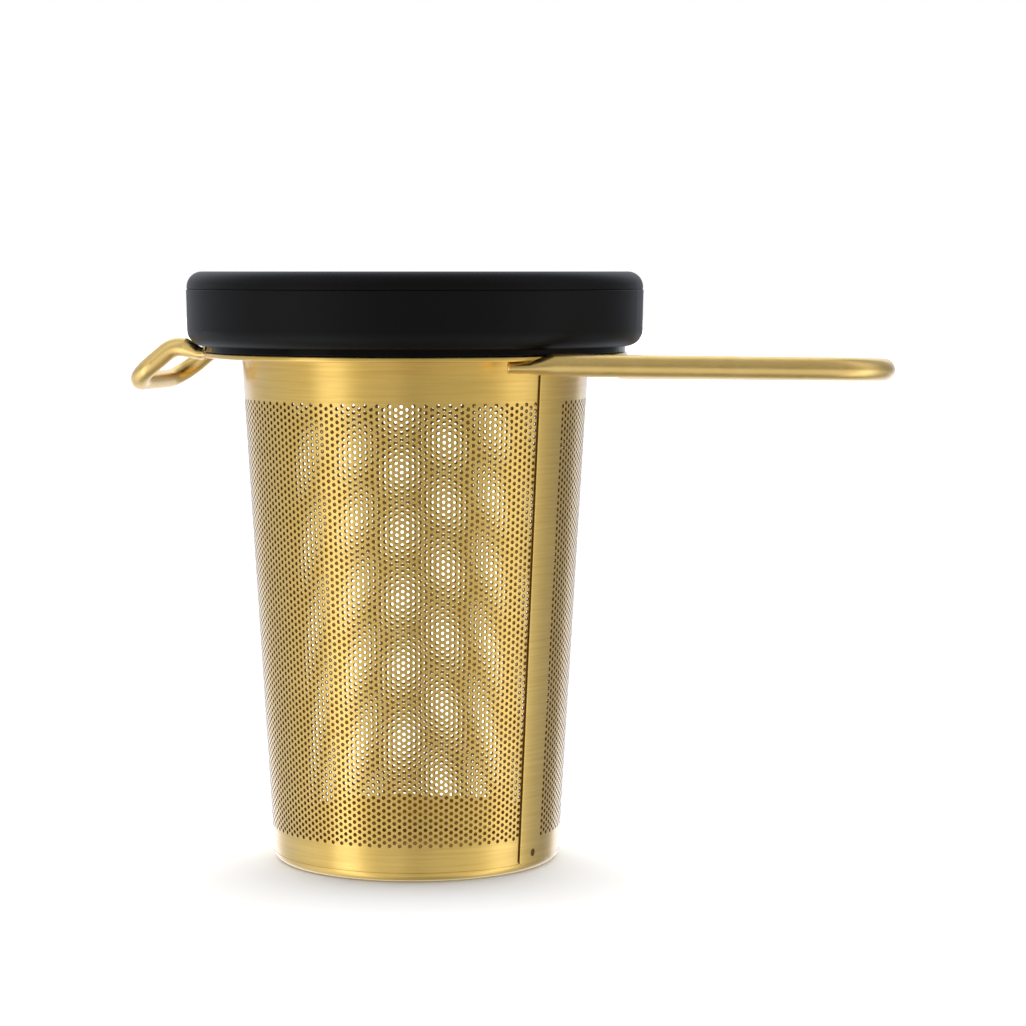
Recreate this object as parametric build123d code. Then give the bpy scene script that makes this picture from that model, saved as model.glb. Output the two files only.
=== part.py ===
from build123d import *
import os
from math import cos, radians, sin, tan

# A tea infuser: a tapered sheet-metal basket that hangs by its rim in a mug, with one long and
# one short wire loop to hold it by, and a lid that lifts off.
#
# Frame: +Z is up. The origin is on the basket's axis, in the plane that it stands on.
# +X points along the long handle, and the short hook points along -X.

# ---- Driving dimensions, in millimetres and degrees ----

# Basket
SHEET = 0.35                # thickness of the basket's sheet
BASE_RADIUS = 26.5          # outside, at the bottom
WALL_TAPER = 0.059          # gain in radius for each millimetre of height
BASE_BAND = 1.7             # height of the base cup's rounded edge
CUP_COLLAR_TOP = 5.4        # the cup's collar stands inside the wall up to here
CUP_COLLAR_THICKNESS = 0.4
NESTING_GAP = 0.03          # between one sheet and the sheet that it is nested in

# Lap seam of the rolled wall
SEAM_ANGLE = -28.5          # where the outer layer ends
SEAM_WIDTH = 20.0           # over which the outer layer sinks back to the plain wall
SEAM_END_STEP = 0.05        # height of the outer layer where it merges with the wall
SEAM_CORNER_RADIUS = 0.6

# Rim
RIM_TOP = 93.95
RIM_THICKNESS = 0.9
RIM_RADIUS = 39.1
RIM_EDGE_RADIUS = 0.3
NECK_DEPTH = 5.6            # the rim's collar reaches this far down inside the wall
NECK_THICKNESS = 0.5
MOUTH_ROUNDING = 0.6

# Long handle
HANDLE_WIRE_RADIUS = 2.0
HANDLE_REACH = 86.75        # axis of the basket to the middle of the wire at the tip
HANDLE_TIP_RADIUS = 12.0    # middle of the wire
HANDLE_TAPER = 15.8         # each leg leans in towards the tip by this angle
HANDLE_Z = 91.4             # middle of the wire at the tip
HANDLE_ROLL = 2.4           # the loop is set on the rim with this slight roll about its own axis
ROOT_END = 25.3             # each leg is pressed flat from here, measured along the handle
FLAT_END = 28.9             # to here
ROUND_START = 33.0          # and is round again from here
TONGUE_RADII = (2.2, 1.12)  # half the pressed width and height
TONGUE_END_ROUNDING = 0.4
TONGUE_SEAT = 0.06          # the pressed end's crown is flattened by this against the rim

# Short hook
HOOK_HALF_WIDTH = 11.5      # axis of the hook to the middle of each leg
HOOK_WIRE_RADIUS = 1.75
FOOT_Z = 93.6               # middle of the flat feet, which are welded to the rim's edge
FOOT_START = 36.0           # the feet are trimmed to the rim's edge from here
FOOT_END = 37.9             # each foot is flat up to this distance from the basket's axis
FOOT_RADII = (2.2, 1.15)    # half the pressed width and height
CREST_RADIUS = 4.6          # middle of the wire over the hump
CREST_PLACE = (41.9, 90.2)  # centre of the hump's arc: distance from the axis, height
CREST_START = 12.0          # the wire is round from this angle before the top of the hump
HOOK_SLOPE = 38.3           # the loop falls away from the hump at this angle
HOOK_REACH = 51.8           # axis of the basket to the middle of the wire at the tip
HOOK_TIP_RADIUS = 5.5       # middle of the wire at each corner of the tip

# Lid
LID_TOP = 108.7
LID_RADIUS = 42.05
CAP_RADIUS = 41.95
CAP_EDGE_RADIUS = 2.8
PARTING = 105.55            # the cap meets the lid's body here
CAP_THICKNESS = 2.0
CAP_SPIGOT = (38.2, 39.4, 1.75)   # inner radius, outer radius, depth
BODY_INNER_RADIUS = 39.45
BODY_CHAMFER = 0.25
BODY_DRAFT = 0.15           # loss of radius from the parting line to the lower rounding
BODY_FLOOR = 95.1
BODY_EDGE_RADIUS = 3.0
SHELF_INNER_RADIUS = 36.4
SHELF_THICKNESS = 1.8
BODY_FILLET = 1.5           # inside corner above the shelf
FOOT_RING_RADII = (35.8, 38.75)
FOOT_RING_ROUNDING = 0.3
LINER_PLATE_RADIUS = 36.35
LINER_THICKNESS = 1.5
MOUTH_RING_RADII = (28.8, 30.6)
MOUTH_RING_DEPTH = 4.4      # below the rim's top face
MOUTH_RING_LEAD = 0.6

# ---- Derived sizes ----

RIM_UNDERSIDE = RIM_TOP - RIM_THICKNESS
HANDLE_TIP_CENTRE = HANDLE_REACH - HANDLE_TIP_RADIUS


def wall_radius(z):
    """Outside radius of the basket's wall at height z."""
    return BASE_RADIUS + WALL_TAPER * z


def polar(radius, angle, z=0.0):
    """The point at this radius and angle in degrees about the basket's axis."""
    return (radius * cos(radians(angle)), radius * sin(radians(angle)), z)


def turned(outline):
    """A ring or disc: the closed outline, drawn in radius and height, turned about the axis."""
    face = make_face(Plane.XZ * outline)
    return revolve(face, Axis.Z)


# ---- Basket ----

def make_base_cup():
    """Floor of the basket, with a rounded edge and a collar that stands inside the wall."""
    edge = BASE_BAND - 0.05
    collar_foot = wall_radius(BASE_BAND) - SHEET - NESTING_GAP
    collar_head = wall_radius(CUP_COLLAR_TOP) - SHEET - NESTING_GAP
    floor_edge = collar_foot - CUP_COLLAR_THICKNESS - 0.6
    outline = Line((0, 0), (BASE_RADIUS - edge, 0))
    outline += RadiusArc((BASE_RADIUS - edge, 0), (BASE_RADIUS, edge), -edge)
    outline += Polyline(
        (BASE_RADIUS, edge),
        (wall_radius(BASE_BAND), BASE_BAND),
        (collar_foot, BASE_BAND),
        (collar_head, CUP_COLLAR_TOP),
        (collar_head - CUP_COLLAR_THICKNESS, CUP_COLLAR_TOP),
        (collar_foot - CUP_COLLAR_THICKNESS, BASE_BAND),
        (floor_edge, SHEET),
        (0, SHEET),
        (0, 0),
    )
    return turned(outline)


def make_seam_layer():
    """The free end of the rolled sheet, which lies over the wall and sinks back into it."""
    faces = []
    for z in (BASE_BAND, RIM_UNDERSIDE):
        radius = wall_radius(z)
        middle = SEAM_ANGLE + SEAM_WIDTH / 2
        end = SEAM_ANGLE + SEAM_WIDTH
        inner = radius - SHEET / 2
        mean_step = (SHEET + SEAM_END_STEP) / 2
        outline = ThreePointArc(
            polar(radius + SHEET, SEAM_ANGLE),
            polar(radius + mean_step, middle),
            polar(radius + SEAM_END_STEP, end),
        )
        outline += Line(polar(radius + SEAM_END_STEP, end), polar(inner, end))
        outline += ThreePointArc(polar(inner, end), polar(inner, middle), polar(inner, SEAM_ANGLE))
        outline += Line(polar(inner, SEAM_ANGLE), polar(radius + SHEET, SEAM_ANGLE))
        faces.append(Plane.XY.offset(z) * make_face(outline))
    layer = loft(faces, ruled=True)
    corner_place = Vector(*polar(wall_radius(BASE_BAND) + SHEET / 4, SEAM_ANGLE, BASE_BAND))
    corner = layer.edges().sort_by_distance(corner_place)[0]
    return fillet(corner, SEAM_CORNER_RADIUS)


def make_basket_wall():
    """The rolled, tapered sheet with its lap seam. Its perforations are left out."""
    outline = Polyline(
        (wall_radius(BASE_BAND), BASE_BAND),
        (wall_radius(RIM_UNDERSIDE), RIM_UNDERSIDE),
        (wall_radius(RIM_UNDERSIDE) - SHEET, RIM_UNDERSIDE),
        (wall_radius(BASE_BAND) - SHEET, BASE_BAND),
        (wall_radius(BASE_BAND), BASE_BAND),
    )
    return turned(outline) + make_seam_layer()


def make_rim_flange():
    """The flat rim that rests on a mug, with its collar inside the top of the wall."""
    collar_bottom = RIM_UNDERSIDE - NECK_DEPTH
    collar_head = wall_radius(RIM_UNDERSIDE) - SHEET - NESTING_GAP
    collar_foot = wall_radius(collar_bottom) - SHEET - NESTING_GAP
    mouth = collar_head - NECK_THICKNESS
    outline = Polyline(
        (mouth, RIM_TOP),
        (RIM_RADIUS, RIM_TOP),
        (RIM_RADIUS, RIM_UNDERSIDE),
        (collar_head, RIM_UNDERSIDE),
        (collar_foot, collar_bottom),
        (collar_foot - NECK_THICKNESS, collar_bottom),
        (mouth, RIM_UNDERSIDE),
        (mouth, RIM_TOP),
    )
    rim = turned(outline)
    top_edges = rim.faces().sort_by(Axis.Z)[-1].edges().sort_by(SortBy.LENGTH)
    rim = fillet(top_edges[0], MOUTH_ROUNDING)
    outer_edges = rim.edges().filter_by(GeomType.CIRCLE).sort_by(SortBy.RADIUS)[-2:]
    return fillet(outer_edges, RIM_EDGE_RADIUS)


# ---- Wire loops ----

def leg_offset(x):
    """How far the middle of a handle's leg is from the handle's own axis, x along the handle."""
    at_tip = HANDLE_TIP_RADIUS / cos(radians(HANDLE_TAPER))
    return at_tip + (HANDLE_TIP_CENTRE - x) * tan(radians(HANDLE_TAPER))


def handle_path():
    """Middle line of the long handle's round wire: two straight legs and an arc at the tip."""
    roll = radians(HANDLE_ROLL)
    loop_plane = Plane(origin=(0, 0, HANDLE_Z), x_dir=(1, 0, 0), z_dir=(0, sin(roll), cos(roll)))
    leg_end_x = HANDLE_TIP_CENTRE + HANDLE_TIP_RADIUS * sin(radians(HANDLE_TAPER))
    leg_end_y = HANDLE_TIP_RADIUS * cos(radians(HANDLE_TAPER))
    path = Line((ROUND_START, -leg_offset(ROUND_START)), (leg_end_x, -leg_end_y))
    path += ThreePointArc((leg_end_x, -leg_end_y), (HANDLE_REACH, 0), (leg_end_x, leg_end_y))
    path += Line((leg_end_x, leg_end_y), (ROUND_START, leg_offset(ROUND_START)))
    return loop_plane * path


def make_handle_root(side, round_place, leg):
    """A leg's pressed end under the rim, and its run-out to the round wire, whose start and
    direction are given; side is -1 or 1 along y."""
    heading = Vector(cos(radians(HANDLE_TAPER)), -side * sin(radians(HANDLE_TAPER)), 0)
    across = Vector(-heading.Y, heading.X, 0)
    tongue_z = RIM_UNDERSIDE - TONGUE_RADII[1] + TONGUE_SEAT
    end_place = Vector(ROOT_END, side * leg_offset(ROOT_END), tongue_z)
    flat_place = Vector(FLAT_END, side * leg_offset(FLAT_END), tongue_z)
    end_plane = Plane(origin=end_place, x_dir=across, z_dir=heading)
    flat_plane = Plane(origin=flat_place, x_dir=across, z_dir=heading)
    round_plane = Plane(origin=round_place, x_dir=across, z_dir=leg)
    tongue = sweep(end_plane * Ellipse(*TONGUE_RADII), path=Line(end_place, flat_place))
    free_end = tongue.faces().sort_by_distance(end_place)[0]
    tongue = fillet(free_end.edges(), TONGUE_END_ROUNDING)
    pressed = flat_plane * Ellipse(*TONGUE_RADII)
    return tongue + loft([pressed, round_plane * Circle(HANDLE_WIRE_RADIUS)])


def make_long_handle():
    """The long wire loop. It passes close in front of the rim's edge and is trimmed to it."""
    path = handle_path()
    wire = sweep(Plane(origin=path @ 0, z_dir=path % 0) * Circle(HANDLE_WIRE_RADIUS), path=path)
    handle = wire + make_handle_root(-1, path @ 0, path % 0)
    handle += make_handle_root(1, path @ 1, -(path % 1))
    rim_space = Cylinder(RIM_RADIUS, LID_TOP - RIM_UNDERSIDE)
    return handle - Pos(0, 0, (LID_TOP + RIM_UNDERSIDE) / 2) * rim_space


def upright_section(upright, curve, position):
    """A plane across a curve that is drawn on the upright plane: x points across the leg."""
    heading = upright.x_dir * (curve % position).X + upright.y_dir * (curve % position).Y
    origin = upright.from_local_coords(curve @ position)
    return Plane(origin=origin, x_dir=(0, 1, 0), z_dir=heading)


def make_hook_side():
    """One leg of the short hook, from its flat foot on the rim to the middle of the tip."""
    # The leg is drawn upright, as distance from the basket's axis and height.
    upright = Plane(origin=(0, -HOOK_HALF_WIDTH, 0), x_dir=(-1, 0, 0), z_dir=(0, 1, 0))
    foot = Line((FOOT_START, FOOT_Z), (FOOT_END, FOOT_Z))
    sweep_angle = -(CREST_START + HOOK_SLOPE)
    crest = CenterArc(CREST_PLACE, CREST_RADIUS, 90 + CREST_START, sweep_angle)
    crest_end = crest @ 1

    # The loop lies in a plane that slopes down from the hump.
    downhill = Vector(-cos(radians(HOOK_SLOPE)), 0, -sin(radians(HOOK_SLOPE)))
    across_loop = downhill.cross(Vector(0, 1, 0))
    slope_start = upright.from_local_coords(crest_end)
    sloping = Plane(origin=slope_start, x_dir=downhill, z_dir=across_loop)
    run = (HOOK_REACH - crest_end.X) / cos(radians(HOOK_SLOPE))
    leg = Line((0, 0), (run - HOOK_TIP_RADIUS, 0))
    corner = JernArc(leg @ 1, leg % 1, HOOK_TIP_RADIUS, 90)
    across = Line(corner @ 1, (run, HOOK_HALF_WIDTH))

    flat_start = upright_section(upright, foot, 0)
    flat_end = upright_section(upright, foot, 1)
    round_start = upright_section(upright, crest, 0)
    flat_foot = sweep(flat_start * Ellipse(*FOOT_RADII), path=upright * foot)
    pressed = flat_end * Ellipse(*FOOT_RADII)
    run_out = loft([pressed, round_start * Circle(HOOK_WIRE_RADIUS)])
    round_path = upright * crest + sloping * (leg + corner + across)
    wire = sweep(round_start * Circle(HOOK_WIRE_RADIUS), path=round_path)
    rim_edge = Pos(0, 0, FOOT_Z) * Cylinder(RIM_RADIUS, 6 * FOOT_RADII[1])
    return flat_foot + run_out + wire - rim_edge


def make_hook():
    """The short wire loop, which rises over a hump and slopes down to its tip."""
    side = make_hook_side()
    return side + mirror(side, Plane.XZ)


# ---- Lid ----

def make_lid_cap():
    """The lid's top, with a rounded edge and a spigot that locates it in the body."""
    spigot_inner, spigot_outer, spigot_depth = CAP_SPIGOT
    flat_radius = CAP_RADIUS - CAP_EDGE_RADIUS
    edge_foot = LID_TOP - CAP_EDGE_RADIUS
    outline = Line((0, LID_TOP), (flat_radius, LID_TOP))
    outline += RadiusArc((flat_radius, LID_TOP), (CAP_RADIUS, edge_foot), CAP_EDGE_RADIUS)
    outline += Polyline(
        (CAP_RADIUS, edge_foot),
        (CAP_RADIUS, PARTING),
        (spigot_outer, PARTING),
        (spigot_outer, PARTING - spigot_depth),
        (spigot_inner, PARTING - spigot_depth),
        (spigot_inner, LID_TOP - CAP_THICKNESS),
        (0, LID_TOP - CAP_THICKNESS),
        (0, LID_TOP),
    )
    return turned(outline)


def make_lid_body():
    """The lid's side, rounded in at the bottom, with a shelf that carries the liner."""
    low_radius = LID_RADIUS - BODY_DRAFT
    round_start = BODY_FLOOR + BODY_EDGE_RADIUS
    flat_radius = low_radius - BODY_EDGE_RADIUS
    outline = Line((LID_RADIUS - BODY_CHAMFER, PARTING), (LID_RADIUS, PARTING - BODY_CHAMFER))
    outline += Line((LID_RADIUS, PARTING - BODY_CHAMFER), (low_radius, round_start))
    outline += RadiusArc((low_radius, round_start), (flat_radius, BODY_FLOOR), BODY_EDGE_RADIUS)
    outline += Polyline(
        (flat_radius, BODY_FLOOR),
        (SHELF_INNER_RADIUS, BODY_FLOOR),
        (SHELF_INNER_RADIUS, BODY_FLOOR + SHELF_THICKNESS),
        (BODY_INNER_RADIUS - BODY_FILLET, BODY_FLOOR + SHELF_THICKNESS),
        (BODY_INNER_RADIUS, BODY_FLOOR + SHELF_THICKNESS + BODY_FILLET),
        (BODY_INNER_RADIUS, PARTING),
        (LID_RADIUS - BODY_CHAMFER, PARTING),
    )
    return turned(outline)


def make_lid_liner():
    """The glossy underside: a foot ring that sits on the rim and a ring that drops in the mouth."""
    foot_inner, foot_outer = FOOT_RING_RADII
    mouth_inner, mouth_outer = MOUTH_RING_RADII
    mouth_bottom = RIM_TOP - MOUTH_RING_DEPTH
    liner = turned(Polyline(
        (0, BODY_FLOOR),
        (mouth_inner, BODY_FLOOR),
        (mouth_inner, mouth_bottom),
        (mouth_outer - MOUTH_RING_LEAD, mouth_bottom),
        (mouth_outer, mouth_bottom + MOUTH_RING_LEAD),
        (mouth_outer, BODY_FLOOR),
        (foot_inner, BODY_FLOOR),
        (foot_inner, RIM_TOP),
        (foot_outer, RIM_TOP),
        (foot_outer, BODY_FLOOR),
        (LINER_PLATE_RADIUS, BODY_FLOOR),
        (LINER_PLATE_RADIUS, BODY_FLOOR + LINER_THICKNESS),
        (0, BODY_FLOOR + LINER_THICKNESS),
        (0, BODY_FLOOR),
    ))
    outer_edges = liner.edges().filter_by(GeomType.CIRCLE).sort_by(SortBy.RADIUS)[-2:]
    return fillet(outer_edges.sort_by(Axis.Z)[0], FOOT_RING_ROUNDING)


PARTS = {
    "rim_flange": make_rim_flange,
    "basket_wall": make_basket_wall,
    "base_cup": make_base_cup,
    "long_handle": make_long_handle,
    "hook": make_hook,
    "lid_cap": make_lid_cap,
    "lid_body": make_lid_body,
    "lid_liner": make_lid_liner,
}

if __name__ == "__main__":
    os.makedirs("parts", exist_ok=True)
    for name, make in PARTS.items():
        part = make()
        part.label = name
        export_step(part, f"parts/{name}.step")
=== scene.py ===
"""The looks of a tea infuser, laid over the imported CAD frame. Units are metres and radians."""
from math import atan, cos, pi, radians, sin, sqrt, tau

import bmesh
import bpy
import numpy as np
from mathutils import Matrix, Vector


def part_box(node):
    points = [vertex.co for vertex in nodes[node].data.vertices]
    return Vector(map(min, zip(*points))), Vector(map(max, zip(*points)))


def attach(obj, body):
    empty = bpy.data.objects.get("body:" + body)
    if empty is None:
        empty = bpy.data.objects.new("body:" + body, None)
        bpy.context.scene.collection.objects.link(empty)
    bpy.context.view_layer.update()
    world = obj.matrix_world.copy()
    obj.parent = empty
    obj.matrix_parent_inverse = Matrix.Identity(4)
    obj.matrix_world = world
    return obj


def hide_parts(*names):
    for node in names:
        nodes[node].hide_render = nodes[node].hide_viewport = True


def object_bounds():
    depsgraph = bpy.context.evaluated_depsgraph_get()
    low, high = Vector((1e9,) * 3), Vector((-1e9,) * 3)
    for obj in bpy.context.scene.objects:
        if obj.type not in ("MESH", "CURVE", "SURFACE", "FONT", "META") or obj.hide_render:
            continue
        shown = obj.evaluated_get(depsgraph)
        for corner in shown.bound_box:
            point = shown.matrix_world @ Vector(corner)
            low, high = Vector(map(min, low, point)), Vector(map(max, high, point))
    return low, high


MM = 0.001

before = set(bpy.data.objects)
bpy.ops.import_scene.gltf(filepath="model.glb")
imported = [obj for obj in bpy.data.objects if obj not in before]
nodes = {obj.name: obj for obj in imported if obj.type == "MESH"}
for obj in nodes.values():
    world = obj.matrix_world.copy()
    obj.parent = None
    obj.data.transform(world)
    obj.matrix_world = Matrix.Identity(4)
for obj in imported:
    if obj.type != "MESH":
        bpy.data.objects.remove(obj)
cad_low, cad_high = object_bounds()

# ---- Sizes read from the frame ----

wall_low, wall_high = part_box("basket_wall")
cup_low, cup_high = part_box("base_cup")
WALL_FOOT = wall_low.z
WALL_HEAD = wall_high.z
FOOT_RADIUS = cup_high.x        # the wall's outside radius at its foot
TAPER = (wall_high.x - cup_high.x) / (WALL_HEAD - WALL_FOOT)

# ---- Sizes of the sheet, its holes and its seam ----

SHEET = 0.35 * MM
HOLE_RADIUS = 0.365 * MM
HOLE_SIDES = 12
COLUMNS = 178                   # of holes, each column upright
COLUMN_STEP = tau / 184
ROWS = 68                       # of holes in each column
ROW_STEP = 1.164 * MM
LOWEST_HOLE = 6.65 * MM
SECTORS = 6                     # the wall is divided into this many pieces
FOOT_ROUNDING = 0.12 * MM

SEAM = radians(-28.5)           # the free end of the sheet's outer layer
LAST_COLUMN = SEAM + tau - radians(1.22)
FIRST_COLUMN = LAST_COLUMN - (COLUMNS - 1) * COLUMN_STEP
INNER_END = SEAM + radians(9.5)  # the free end of the inner layer
SEAM_SUNK = SEAM + radians(36)  # the outer layer has sunk back to the plain wall here
SEAM_CORNER = 0.6 * MM
SEAM_EDGE_ROUNDING = 0.06 * MM

WELD_ANGLE = SEAM + radians(7.4)  # a spot weld holds the seam's lower corner
WELD_HEIGHT = 3.5 * MM
WELD_SIZE = (0.05 * MM, 0.60 * MM, 0.72 * MM)   # half its depth, width and height

# ---- Camera ----

HANDLE_TURN = radians(16)       # the handle points this far towards the camera
CAMERA_DISTANCE = 0.5473        # from the basket's axis, along the level view
CAMERA_ASIDE = 0.018            # the basket stands this far left of the view's middle
CAMERA_PITCH = radians(4.666)   # looking down
CAMERA_LENS = 103.86            # on a sensor 36 mm wide


# ---- Small helpers ----

def wall_radius(z):
    """Outside radius of the plain wall at height z."""
    return FOOT_RADIUS + TAPER * (z - WALL_FOOT)


def seam_lift(angle):
    """How far the sheet stands out from the plain wall at this angle, right of the seam."""
    past = np.clip((angle - INNER_END) / (SEAM_SUNK - INNER_END), 0, 1)
    return SHEET * (1 + np.cos(pi * past)) / 2


def seam_slope(angle):
    """Derivative of seam_lift by angle."""
    span = SEAM_SUNK - INNER_END
    past = np.clip((angle - INNER_END) / span, 0, 1)
    return -SHEET * pi / (2 * span) * np.sin(pi * past)


def ring_triangles(outer_angles, inner_angles):
    """Triangles that fill the space between two rings of points, as indices into outer + inner."""
    outer_count = len(outer_angles)
    inner_count = len(inner_angles)
    outer = list(outer_angles) + [outer_angles[0] + tau]
    inner = list(inner_angles) + [inner_angles[0] + tau]
    triangles = []
    i = j = 0
    while i < outer_count or j < inner_count:
        outer_i = i % outer_count
        inner_j = outer_count + j % inner_count
        outer_turn = i < outer_count and (
            j == inner_count or outer[i] + outer[i + 1] <= inner[j] + inner[j + 1]
        )
        if outer_turn:
            triangles.append((outer_i, (i + 1) % outer_count, inner_j))
            i += 1
        else:
            triangles.append((outer_count + (j + 1) % inner_count, inner_j, outer_i))
            j += 1
    return np.array(triangles)


def triangle_mesh(name, points, triangles, normals, material_index):
    """A mesh of triangles with given normals, one for each corner."""
    mesh = bpy.data.meshes.new(name)
    mesh.vertices.add(len(points))
    mesh.vertices.foreach_set("co", points.astype(np.float32).ravel())
    mesh.loops.add(triangles.size)
    mesh.loops.foreach_set("vertex_index", triangles.astype(np.int32).ravel())
    mesh.polygons.add(len(triangles))
    mesh.polygons.foreach_set("loop_start", np.arange(0, triangles.size, 3, dtype=np.int32))
    mesh.polygons.foreach_set("material_index", material_index.astype(np.int32))
    mesh.polygons.foreach_set("use_smooth", np.ones(len(triangles), bool))
    mesh.update()
    mesh.normals_split_custom_set(normals.reshape(-1, 3))
    return mesh


def place(mesh, body, replaced, materials):
    """Puts a mesh in the scene as a piece that rides on a body and stands for a CAD node."""
    piece = bpy.data.objects.new(mesh.name, mesh)
    bpy.context.scene.collection.objects.link(piece)
    for material in materials:
        mesh.materials.append(material)
    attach(piece, body)
    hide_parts(replaced)
    return piece


# ---- Perforated wall ----

def hole_rims(first, count):
    """Angle and height of every point round every hole, and how far round its hole it lies."""
    column, row, side = np.meshgrid(
        np.arange(count), np.arange(ROWS), np.arange(HOLE_SIDES), indexing="ij"
    )
    column, row, side = column.ravel(), row.ravel(), side.ravel()
    raised = (first + column) % 2
    hole_z = LOWEST_HOLE + ROW_STEP * (row + raised / 2)
    turn = tau * side / HOLE_SIDES
    around = HOLE_RADIUS * np.cos(turn) / wall_radius(hole_z)
    angle = FIRST_COLUMN + COLUMN_STEP * (first + column) + around
    return angle, hole_z + HOLE_RADIUS * np.sin(turn), turn


def sheet_points(angle, z, inset):
    """Points of the sheet's outside, drawn in by an inset, then the same points of its inside."""
    radius = wall_radius(z) + seam_lift(angle)
    outside = np.stack([np.cos(angle) * (radius - inset), np.sin(angle) * (radius - inset), z], 1)
    thinner = radius - SHEET
    inside = np.stack([np.cos(angle) * thinner, np.sin(angle) * thinner, z], 1)
    return np.concatenate([outside, inside])


def cell_triangles(first, count, level_count, rims):
    """Triangles of the brick-shaped cells, each round the hole whose rim it is given."""
    half_width = COLUMN_STEP * wall_radius((WALL_FOOT + WALL_HEAD) / 2) / 2
    tip = atan(ROW_STEP / 2 / half_width)
    outline = [0, tip, pi - tip, pi, pi + tip, tau - tip]
    template = ring_triangles(outline, [tau * i / HOLE_SIDES for i in range(HOLE_SIDES)])
    column, row = np.meshgrid(np.arange(count), np.arange(ROWS), indexing="ij")
    column, row = column.ravel(), row.ravel()
    left = column * level_count + 2 + 2 * row + (first + column) % 2
    right = left + level_count
    corners = np.stack([right + 1, right + 2, left + 2, left + 1, left, right], 1)
    cells = np.concatenate([corners, rims], 1)
    return cells[:, template].reshape(-1, 3)


def plain_triangles(first, count, level_count):
    """Triangles of the plain stretches below and above the holes of each column."""
    triangles = []
    for i in range(count):
        raised_by = (first + i) % 2
        below = range(0, 2 + raised_by)
        above = range(2 + 2 * ROWS + raised_by, level_count - 1)
        for level in [*below, *above]:
            a = i * level_count + level
            b = a + level_count
            triangles.extend([(a, b, b + 1), (a, b + 1, a + 1)])
    return np.array(triangles)


def hole_wall_triangles(rims, following, skin_size):
    """Triangles of the holes' own walls, from one skin to the other."""
    a, b = rims.ravel(), following.ravel()
    return np.concatenate([
        np.stack([a, b, b + skin_size], 1),
        np.stack([a, b + skin_size, a + skin_size], 1),
    ])


def end_triangles(count, level_count, skin_size):
    """Triangles of the sheet's lower edge, then of its upper edge."""
    low = np.arange(count) * level_count
    high = low + level_count - 1
    return np.concatenate([
        np.stack([low + skin_size, low + level_count + skin_size, low + level_count], 1),
        np.stack([low + skin_size, low + level_count, low], 1),
        np.stack([high, high + level_count, high + level_count + skin_size], 1),
        np.stack([high, high + level_count + skin_size, high + skin_size], 1),
    ])


def sheet_facing(angle, z):
    """Directions square to the sheet's outside."""
    tilt = seam_slope(angle) / (wall_radius(z) + seam_lift(angle))
    facing = np.stack([
        np.cos(angle) + np.sin(angle) * tilt,
        np.sin(angle) - np.cos(angle) * tilt,
        np.full(len(angle), -TAPER),
    ], 1)
    return facing / np.linalg.norm(facing, axis=1, keepdims=True)


def panel_mesh(name, first, last):
    """The wall from one hole column to another, with every hole cut through the sheet.

    Each hole has a brick-shaped cell whose sides meet the neighbours' at half a row's height.
    The points are the cells' corners, column edge by column edge, and then the holes' rims.
    """
    count = last - first
    levels = np.concatenate([
        [WALL_FOOT, WALL_FOOT + FOOT_ROUNDING],
        LOWEST_HOLE + ROW_STEP / 2 * np.arange(-1, 2 * ROWS + 1),
        [WALL_HEAD],
    ])
    level_count = len(levels)
    edges = FIRST_COLUMN + COLUMN_STEP * (first - 0.5 + np.arange(count + 1))
    corner_count = level_count * (count + 1)
    rim_angle, rim_z, turn = hole_rims(first, count)
    angle = np.concatenate([np.repeat(edges, level_count), rim_angle])
    z = np.concatenate([np.tile(levels, count + 1), rim_z])
    inset = np.where(z == WALL_FOOT, FOOT_ROUNDING, 0)
    skin_size = len(angle)

    rim_start = corner_count + HOLE_SIDES * np.arange(count * ROWS)[:, None]
    rims = rim_start + np.arange(HOLE_SIDES)
    following = rim_start + (np.arange(HOLE_SIDES) + 1) % HOLE_SIDES
    cells = cell_triangles(first, count, level_count, rims)
    skin = np.concatenate([cells, plain_triangles(first, count, level_count)])
    walls = hole_wall_triangles(rims, following, skin_size)
    ends = end_triangles(count, level_count, skin_size)
    triangles = np.concatenate([skin, skin[:, ::-1] + skin_size, walls, ends])

    # Normals: square to the smooth wall on the skins, towards the middle inside the holes.
    facing = sheet_facing(angle, z)
    middle = np.zeros((len(angle), 3))
    middle[corner_count:, 0] = np.sin(rim_angle) * np.cos(turn)
    middle[corner_count:, 1] = -np.cos(rim_angle) * np.cos(turn)
    middle[corner_count:, 2] = -np.sin(turn)
    towards = np.concatenate([middle, middle])
    end_facing = np.zeros((len(ends), 3, 3))
    end_facing[: len(ends) // 2, :, 2] = -1
    end_facing[len(ends) // 2:, :, 2] = 1
    normals = np.concatenate([facing[skin], -facing[skin[:, ::-1]], towards[walls], end_facing])
    # The holes' walls take the second material, which is darker: painted shade inside the holes.
    material_index = np.zeros(len(triangles))
    material_index[2 * len(skin): 2 * len(skin) + len(walls)] = 1
    points = sheet_points(angle, z, inset)
    return triangle_mesh(name, points, triangles, normals, material_index)


def seam_edge(z):
    """Angle of the outer layer's free edge at height z: straight, with a rounded lower corner."""
    into_corner = np.clip(SEAM_CORNER - (z - WALL_FOOT), 0, SEAM_CORNER)
    set_back = SEAM_CORNER - np.sqrt(SEAM_CORNER**2 - into_corner**2)
    return SEAM + set_back / wall_radius(z)


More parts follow.
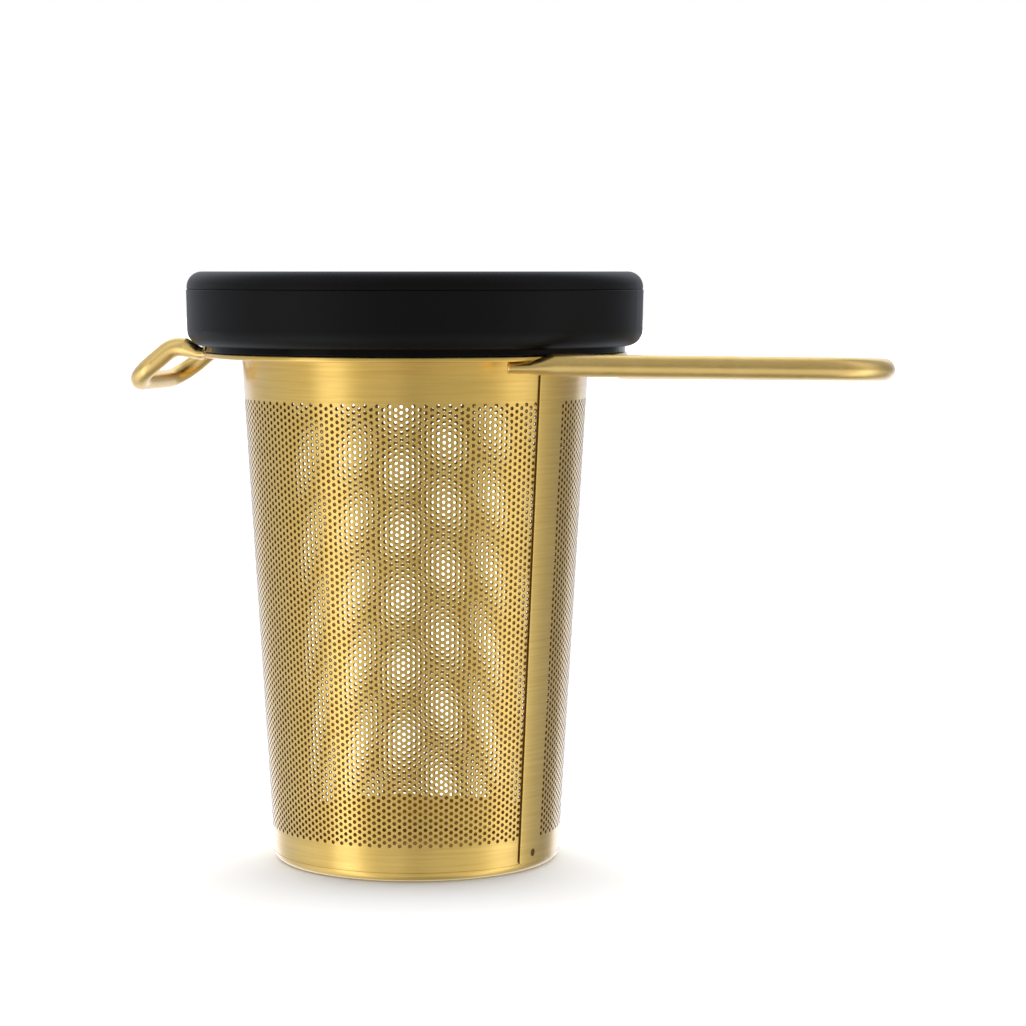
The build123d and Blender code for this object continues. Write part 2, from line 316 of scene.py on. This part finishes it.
def plate_mesh(name, start, end, lift, edge_rounding):
    """A plain curved strip of sheet between two edges, each a function of the height.

    lift says how far its outside stands out from the plain wall, by angle. The strip's first
    edge, which was cut, has the second material, which on the seam's layers is dark: a painted
    shadow line along the seam.
    """
    corner_points, wall_points, edge_points, points_across = 9, 40, 5, 24
    corner_turn = np.linspace(0, pi / 2, corner_points)
    corner_levels = WALL_FOOT + SEAM_CORNER * (1 - np.cos(corner_turn))
    wall_levels = np.linspace(corner_levels[-1], WALL_HEAD, wall_points)
    levels = np.concatenate([corner_levels, wall_levels[1:]])
    near_edge = np.linspace(0, edge_rounding, edge_points)
    across = np.linspace(0, 1, points_across)
    bm = bmesh.new()
    grid = {}
    for i, z in enumerate(levels):
        radius = wall_radius(z)
        first = start(z)
        width = end(z) - first
        rounded = near_edge / radius
        steps = np.concatenate([rounded, rounded[-1] + across[1:] * (width - rounded[-1])])
        for j, step in enumerate(steps):
            short = max(edge_rounding - step * radius, 0)
            drop = edge_rounding - sqrt(max(edge_rounding**2 - short**2, 0))
            out = radius + lift(first + step)
            for side, r in enumerate([out - drop, out - SHEET]):
                at = Vector((cos(first + step) * r, sin(first + step) * r, z))
                grid[i, j, side] = bm.verts.new(at)
    rows, columns = len(levels) - 1, len(steps) - 1
    for i in range(rows):
        for j in range(columns):
            for side in (0, 1):
                quad = [grid[i, j, side], grid[i, j + 1, side],
                        grid[i + 1, j + 1, side], grid[i + 1, j, side]]
                bm.faces.new(quad if side == 0 else quad[::-1])
        for j in (0, columns):
            quad = [grid[i, j, 0], grid[i + 1, j, 0], grid[i + 1, j, 1], grid[i, j, 1]]
            edge_face = bm.faces.new(quad if j == 0 else quad[::-1])
            # The first edge takes the second material: on the seam's layers a painted shadow line.
            edge_face.material_index = 1 if j == 0 else 0
    for j in range(columns):
        for i in (0, rows):
            quad = [grid[i, j, 1], grid[i, j + 1, 1], grid[i, j + 1, 0], grid[i, j, 0]]
            bm.faces.new(quad if i == 0 else quad[::-1])
    mesh = bpy.data.meshes.new(name)
    bm.to_mesh(mesh)
    bm.free()
    mesh.shade_smooth()
    mesh.set_sharp_from_angle(angle=radians(50))
    return mesh


# ---- Spot weld ----

def weld_mesh():
    """A small flat blister on the seam's outer layer."""
    bm = bmesh.new()
    bmesh.ops.create_uvsphere(bm, u_segments=32, v_segments=16, radius=1)
    radius = wall_radius(WELD_HEIGHT) + seam_lift(WELD_ANGLE)
    for vertex in bm.verts:
        out, along, up = (c * size for c, size in zip(vertex.co, WELD_SIZE))
        angle = WELD_ANGLE + along / radius
        reach = radius + out + TAPER * up
        vertex.co = (cos(angle) * reach, sin(angle) * reach, WELD_HEIGHT + up)
    mesh = bpy.data.meshes.new("seam_weld")
    bm.to_mesh(mesh)
    bm.free()
    mesh.shade_smooth()
    return mesh


# ---- Materials ----

def new_material(name, colour, metallic, roughness):
    """A material with a Principled shader, its node tree's nodes and links, and that shader."""
    material = bpy.data.materials.new(name)
    material.use_nodes = True
    tree = material.node_tree
    shader = tree.nodes["Principled BSDF"]
    shader.inputs["Base Color"].default_value = (*colour, 1)
    shader.inputs["Metallic"].default_value = metallic
    shader.inputs["Roughness"].default_value = roughness
    return material, tree, shader


def stretched_noise(tree, stretch, detail):
    """Noise over the object, with its own scale along each axis in features for each metre."""
    place_node = tree.nodes.new("ShaderNodeTexCoord")
    scale_node = tree.nodes.new("ShaderNodeMapping")
    scale_node.inputs["Scale"].default_value = stretch
    noise = tree.nodes.new("ShaderNodeTexNoise")
    noise.inputs["Scale"].default_value = 1
    noise.inputs["Detail"].default_value = detail
    tree.links.new(place_node.outputs["Object"], scale_node.inputs["Vector"])
    tree.links.new(scale_node.outputs["Vector"], noise.inputs["Vector"])
    return noise.outputs["Fac"]


def fade(tree, value, start, end, first, last):
    """Runs from one number or colour to another while a value runs from start to end."""
    node = tree.nodes.new("ShaderNodeMapRange")
    if isinstance(first, tuple):
        node.data_type = "FLOAT_VECTOR"
        vector, from_min, from_max, to_min, to_max = list(node.inputs)[6:11]
        from_min.default_value = (start,) * 3
        from_max.default_value = (end,) * 3
        to_min.default_value = first
        to_max.default_value = last
        tree.links.new(value, vector)
        return node.outputs["Vector"]
    node.inputs["From Min"].default_value = start
    node.inputs["From Max"].default_value = end
    node.inputs["To Min"].default_value = first
    node.inputs["To Max"].default_value = last
    tree.links.new(value, node.inputs["Value"])
    return node.outputs["Result"]


def ramp(tree, noise, low, high):
    """Spreads a noise, which is mostly between 0.3 and 0.7, between two numbers or colours."""
    return fade(tree, noise, 0.3, 0.7, low, high)


def product(tree, first, second):
    """Two values multiplied; the second may be a plain number."""
    node = tree.nodes.new("ShaderNodeMath")
    node.operation = "MULTIPLY"
    tree.links.new(first, node.inputs[0])
    if isinstance(second, (int, float)):
        node.inputs[1].default_value = second
    else:
        tree.links.new(second, node.inputs[1])
    return node.outputs["Value"]


def bump(tree, shader, height, strength, distance):
    """Raises the shader's surface by a height."""
    node = tree.nodes.new("ShaderNodeBump")
    node.inputs["Strength"].default_value = strength
    node.inputs["Distance"].default_value = distance
    tree.links.new(height, node.inputs["Height"])
    tree.links.new(node.outputs["Normal"], shader.inputs["Normal"])


def round_the_axis(tree):
    """The direction round the basket's axis, at every point of its sheet."""
    place_node = tree.nodes.new("ShaderNodeTexCoord")
    across = tree.nodes.new("ShaderNodeVectorMath")
    across.operation = "CROSS_PRODUCT"
    across.inputs[0].default_value = (0, 0, 1)
    to_world = tree.nodes.new("ShaderNodeVectorTransform")
    to_world.vector_type = "VECTOR"
    to_world.convert_from = "OBJECT"
    to_world.convert_to = "WORLD"
    unit = tree.nodes.new("ShaderNodeVectorMath")
    unit.operation = "NORMALIZE"
    tree.links.new(place_node.outputs["Object"], across.inputs[1])
    tree.links.new(across.outputs["Vector"], to_world.inputs["Vector"])
    tree.links.new(to_world.outputs["Vector"], unit.inputs[0])
    return unit.outputs["Vector"]


def brushed_gold():
    """Gold-coloured steel, brushed round the basket, so that highlights spread up and down."""
    material, tree, shader = new_material("brushed_gold", (0.85, 0.57, 0.14), 1, 0.36)
    streaks = stretched_noise(tree, (45, 45, 5200), 3)
    bands = stretched_noise(tree, (70, 70, 2100), 4)
    colour = ramp(tree, bands, (0.79, 0.525, 0.11), (0.91, 0.62, 0.15))
    tree.links.new(colour, shader.inputs["Base Color"])
    tree.links.new(ramp(tree, streaks, 0.30, 0.44), shader.inputs["Roughness"])
    bump(tree, shader, streaks, 0.5, 0.02 * MM)
    tree.links.new(round_the_axis(tree), shader.inputs["Tangent"])
    shader.inputs["Coat Weight"].default_value = 1.0
    shader.inputs["Coat Roughness"].default_value = 0.15
    shader.inputs["Anisotropic"].default_value = 0.75
    shader.inputs["Anisotropic Rotation"].default_value = 0.25
    return material


def rough_metal(name, colour):
    """Rough metal, for the insides of the holes (darker, as painted shade), the sheet's cut edge
    (dark, as a painted shadow line along the seam) and the scorched weld.
    """
    material, tree, shader = new_material(name, colour, 1, 0.5)
    grain = stretched_noise(tree, (3000, 3000, 3000), 2)
    tree.links.new(ramp(tree, grain, 0.42, 0.6), shader.inputs["Roughness"])
    return material


def satin_gold():
    """Gold-coloured wire with a soft, slightly uneven gloss."""
    material, tree, shader = new_material("satin_gold", (0.93, 0.66, 0.22), 1, 0.36)
    patches = stretched_noise(tree, (260, 260, 260), 4)
    grain = stretched_noise(tree, (500, 2600, 2600), 3)
    colour = ramp(tree, patches, (0.90, 0.62, 0.20), (0.96, 0.69, 0.25))
    tree.links.new(colour, shader.inputs["Base Color"])
    tree.links.new(ramp(tree, grain, 0.30, 0.42), shader.inputs["Roughness"])
    bump(tree, shader, grain, 0.25, 0.03 * MM)
    shader.inputs["Coat Weight"].default_value = 0.6
    shader.inputs["Coat Roughness"].default_value = 0.2
    return material


def soft_black():
    """Black plastic, soft to the touch, with a very fine grain."""
    material, tree, shader = new_material("soft_black", (0.0035, 0.0035, 0.004), 0, 0.5)
    grain = stretched_noise(tree, (5200, 5200, 5200), 2)
    tone = stretched_noise(tree, (28, 28, 28), 2)
    tree.links.new(ramp(tree, tone, (0.0008,) * 3, (0.0014,) * 3), shader.inputs["Base Color"])
    tree.links.new(ramp(tree, tone, 0.44, 0.48), shader.inputs["Roughness"])
    shader.inputs["Specular IOR Level"].default_value = 0.16
    bump(tree, shader, grain, 0.35, 0.05 * MM)
    return material


def glossy_black():
    """Polished black plastic with faint moulding unevenness."""
    material, tree, shader = new_material("glossy_black", (0.002, 0.002, 0.0025), 0, 0.08)
    waves = stretched_noise(tree, (60, 60, 60), 2)
    tree.links.new(ramp(tree, waves, 0.06, 0.12), shader.inputs["Roughness"])
    bump(tree, shader, waves, 0.1, 0.05 * MM)
    shader.inputs["Specular IOR Level"].default_value = 0.1
    return material


def pale_floor():
    """The plain floor."""
    material, _, shader = new_material("pale_floor", (0.64, 0.64, 0.64), 0, 0.8)
    shader.inputs["Specular IOR Level"].default_value = 0
    return material


gold = brushed_gold()
# Darker gold for the holes' walls: painted shade inside the holes.
hole_painted_shade_metal = rough_metal("hole_gold_painted_shade", (0.52, 0.34, 0.13))
# Very dark metal: the weld's scorch, and a painted shadow line on the seam's cut edges.
scorch_and_painted_shadow_metal = rough_metal("scorch_and_painted_shadow_gold", (0.16, 0.09, 0.03))
wire_gold = satin_gold()
lid_black = soft_black()
liner_black = glossy_black()


# ---- The basket's wall ----

for number, columns in enumerate(np.array_split(np.arange(COLUMNS), SECTORS), start=1):
    panel = panel_mesh(f"wall_panel_{number}", int(columns[0]), int(columns[-1]) + 1)
    place(panel, "basket", "basket_wall", [gold, hole_painted_shade_metal])

columns_end = LAST_COLUMN + COLUMN_STEP / 2 - tau
columns_start = FIRST_COLUMN - COLUMN_STEP / 2
inner_layer = plate_mesh(
    "seam_inner_layer", lambda z: columns_end, lambda z: INNER_END, lambda a: 0.0, 0.0
)
outer_layer = plate_mesh(
    "seam_outer_layer", seam_edge, lambda z: columns_start, seam_lift, SEAM_EDGE_ROUNDING
)
# The layers' cut edges take the dark second material, as a painted shadow line along the seam.
for layer in (inner_layer, outer_layer):
    place(layer, "basket", "basket_wall", [gold, scorch_and_painted_shadow_metal])
place(weld_mesh(), "basket", "basket_wall", [scorch_and_painted_shadow_metal])

# ---- CAD nodes that keep their shape ----

for name, material in {
    "rim_flange": gold,
    "base_cup": gold,
    "long_handle": wire_gold,
    "hook": wire_gold,
    "lid_cap": lid_black,
    "lid_body": lid_black,
    "lid_liner": liner_black,
}.items():
    nodes[name].data.materials[0] = material


# ---- Studio ----

def curve_node(tree, points, low, high, value):
    """A float curve through points, whose inputs run from low to high, applied to a value."""
    greatest = max(amount for _, amount in points)
    node = tree.nodes.new("ShaderNodeFloatCurve")
    curve = node.mapping.curves[0]
    for at, amount in points[1:-1]:
        curve.points.new((at - low) / (high - low), amount / greatest)
    curve.points[0].location = (0, points[0][1] / greatest)
    curve.points[-1].location = (1, points[-1][1] / greatest)
    node.mapping.update()
    tree.links.new(fade(tree, value, low, high, 0, 1), node.inputs["Value"])
    return product(tree, node.outputs["Value"], greatest)


def switch_node(tree, when, otherwise, instead):
    """One value, or another where a light path flag is set."""
    node = tree.nodes.new("ShaderNodeMix")
    tree.links.new(when, node.inputs["Factor"])
    for socket, value in (("A", otherwise), ("B", instead)):
        if isinstance(value, float):
            node.inputs[socket].default_value = value
        else:
            tree.links.new(value, node.inputs[socket])
    return node.outputs["Result"]


def light_direction(tree, camera_heading):
    """Where the light comes from: its X towards the camera's side, Y to the right, Z up."""
    where = tree.nodes.new("ShaderNodeTexCoord")
    turn = tree.nodes.new("ShaderNodeMapping")
    turn.inputs["Rotation"].default_value = (0, 0, -camera_heading)
    split = tree.nodes.new("ShaderNodeSeparateXYZ")
    tree.links.new(where.outputs["Generated"], turn.inputs["Vector"])
    tree.links.new(turn.outputs["Vector"], split.inputs["Vector"])
    return split.outputs["X"], split.outputs["Y"], split.outputs["Z"]


def reflected_brightness(tree, towards, right, up):
    """Bands of soft light all round for the metal to reflect, dimmed low down at the back."""
    bands = [  # degrees right of the camera as seen from the object, and brightness
        (-180, 0.92), (-165, 0.96), (-150, 0.92), (-130, 0.55), (-110, 0.52), (-80, 0.44),
        (-72, 0.41), (-63, 0.88), (-50, 0.82), (-42, 0.44), (-30, 0.36), (-15, 0.38), (0, 0.27),
        (15, 0.32), (40, 0.35), (55, 0.39), (64, 0.55), (72, 0.72), (80, 0.72), (92, 0.48),
        (105, 0.33), (130, 0.29), (142, 0.41), (152, 0.86), (180, 0.92),
    ]
    heights = [  # sine of the angle above the horizon, and share of the brightness
        (-1, 0.6), (-0.93, 0.8), (-0.75, 2.2), (-0.3, 2.4), (-0.15, 1.4), (0, 0.9), (0.15, 0.95),
        (0.4, 1.25), (0.9, 1.25), (1, 1.2),
    ]
    behind_and_below = 0.45
    azimuth = tree.nodes.new("ShaderNodeMath")
    azimuth.operation = "ARCTAN2"
    tree.links.new(right, azimuth.inputs[0])
    tree.links.new(towards, azimuth.inputs[1])
    round_about = [(radians(degrees), amount) for degrees, amount in bands]
    light = product(
        tree,
        curve_node(tree, round_about, -pi, pi, azimuth.outputs["Value"]),
        curve_node(tree, heights, -1, 1, up),
    )
    behind = fade(tree, towards, 0.1, -0.5, 0, 1)
    below = fade(tree, up, -0.08, -0.35, 0, 1)
    shade = fade(tree, product(tree, behind, below), 0, 1, 1, behind_and_below)
    return product(tree, light, shade)


def studio_light(camera_heading):
    """A white room for the camera, bands of soft light for reflections, a plain sky for shade."""
    side_tint = (1.0, 1.04, 1.16)
    sky_behind, sky_in_front = 4.3, 0.55
    world = bpy.data.worlds.new("studio")
    bpy.context.scene.world = world
    world.use_nodes = True
    world.cycles.sampling_method = "NONE"
    tree = world.node_tree
    tree.nodes.clear()
    towards, right, up = light_direction(tree, camera_heading)
    path = tree.nodes.new("ShaderNodeLightPath")
    reflected = reflected_brightness(tree, towards, right, up)
    sky = fade(tree, towards, -0.35, 0.35, sky_behind, sky_in_front)
    strength = switch_node(tree, path.outputs["Is Diffuse Ray"], reflected, sky)
    strength = switch_node(tree, path.outputs["Is Camera Ray"], strength, 1.0)
    tint = tree.nodes.new("ShaderNodeMix")
    tint.data_type = "RGBA"
    plain, tinted = tint.inputs[6], tint.inputs[7]
    plain.default_value = (1, 1, 1, 1)
    light = tree.nodes.new("ShaderNodeBackground")
    output = tree.nodes.new("ShaderNodeOutputWorld")
    link = tree.links.new
    link(fade(tree, towards, 0.2, -0.5, (1, 1, 1), side_tint), tinted)
    link(path.outputs["Is Glossy Ray"], tint.inputs["Factor"])
    link(tint.outputs[2], light.inputs["Color"])
    link(strength, light.inputs["Strength"])
    link(light.outputs["Background"], output.inputs["Surface"])


def make_floor():
    """A wide plain floor under the object, left out of the metal's reflections."""
    half = 6.0
    gap = 0.02 * MM             # below the object, so that the two never share a face
    mesh = bpy.data.meshes.new("floor")
    corners = [(-half, -half, 0), (half, -half, 0), (half, half, 0), (-half, half, 0)]
    mesh.from_pydata(corners, [], [(0, 1, 2, 3)])
    mesh.materials.append(pale_floor())
    floor = bpy.data.objects.new("floor", mesh)
    bpy.context.scene.collection.objects.link(floor)
    floor.location.z = cad_low.z - gap
    floor.visible_glossy = False


def make_camera():
    """The camera, at the height of the lid's top and looking slightly down."""
    right = Vector((cos(HANDLE_TURN), sin(HANDLE_TURN), 0))
    forward = Vector((-sin(HANDLE_TURN), cos(HANDLE_TURN), 0))
    camera = bpy.data.objects.new("camera", bpy.data.cameras.new("camera"))
    bpy.context.scene.collection.objects.link(camera)
    eye_height = Vector((0, 0, cad_high.z))
    camera.location = right * CAMERA_ASIDE - forward * CAMERA_DISTANCE + eye_height
    look = forward * cos(CAMERA_PITCH) - Vector((0, 0, sin(CAMERA_PITCH)))
    camera.rotation_mode = "QUATERNION"
    camera.rotation_quaternion = look.to_track_quat("-Z", "Y")
    camera.data.sensor_width = 36
    camera.data.lens = CAMERA_LENS
    camera.data.clip_start = 0.01
    camera.data.clip_end = 50
    bpy.context.scene.camera = camera


studio_light(HANDLE_TURN - pi / 2)
make_floor()
make_camera()
bpy.context.scene.view_settings.view_transform = "Standard"
